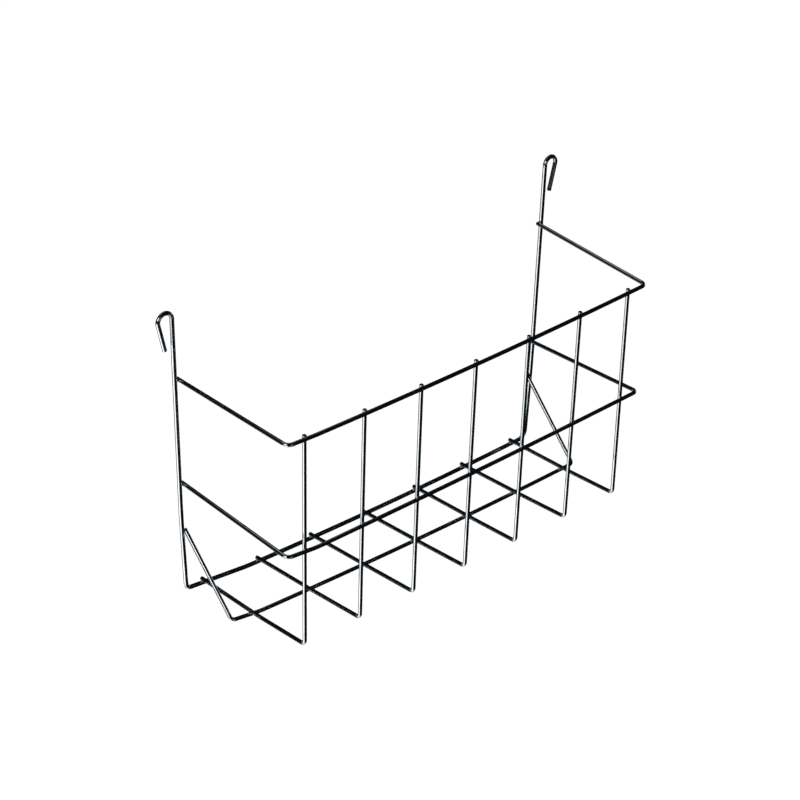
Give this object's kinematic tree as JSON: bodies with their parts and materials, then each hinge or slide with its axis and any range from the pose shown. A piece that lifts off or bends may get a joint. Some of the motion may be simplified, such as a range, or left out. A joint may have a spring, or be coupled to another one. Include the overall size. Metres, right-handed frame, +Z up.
{
  "type": "hay rack feeder",
  "caption": "Open-topped wire hay rack with L-shaped ribs behind bowed rails, hung on cage mesh by two hooks.",
  "frame": {"origin": "on the rack's middle plane and in the plane of the hanger, at the mean height of the two hooks' inner seats, where the cage wire lies that the rack hangs from", "axes": "+Z up, -Y out of the cage wall towards the front ribs, +X to the right seen from the front"},
  "size_m": [0.3722, 0.1207, 0.2454],
  "materials": {
    "hanger_wire": "bright plated steel wire",
    "basket_wire": "bright plated steel wire",
    "weld_metal": "plated over, slightly dull"
  },
  "bodies": {
    "root": {"hanger_frame": "hanger_wire", "rim_wire": "basket_wire", "mid_rail": "basket_wire", "floor_brace": "basket_wire", "rib_1": "basket_wire", "rib_2": "basket_wire", "rib_3": "basket_wire", "rib_4": "basket_wire", "rib_5": "basket_wire", "rib_6": "basket_wire", "rib_7": "basket_wire", "rim_rib_welds": "weld_metal", "mid_rail_rib_welds": "weld_metal", "floor_brace_rib_welds": "weld_metal", "back_rail_rib_welds": "weld_metal", "rim_wire_end_welds": "weld_metal", "mid_rail_end_welds": "weld_metal", "floor_brace_end_welds": "weld_metal"}
  },
  "joints": []
}
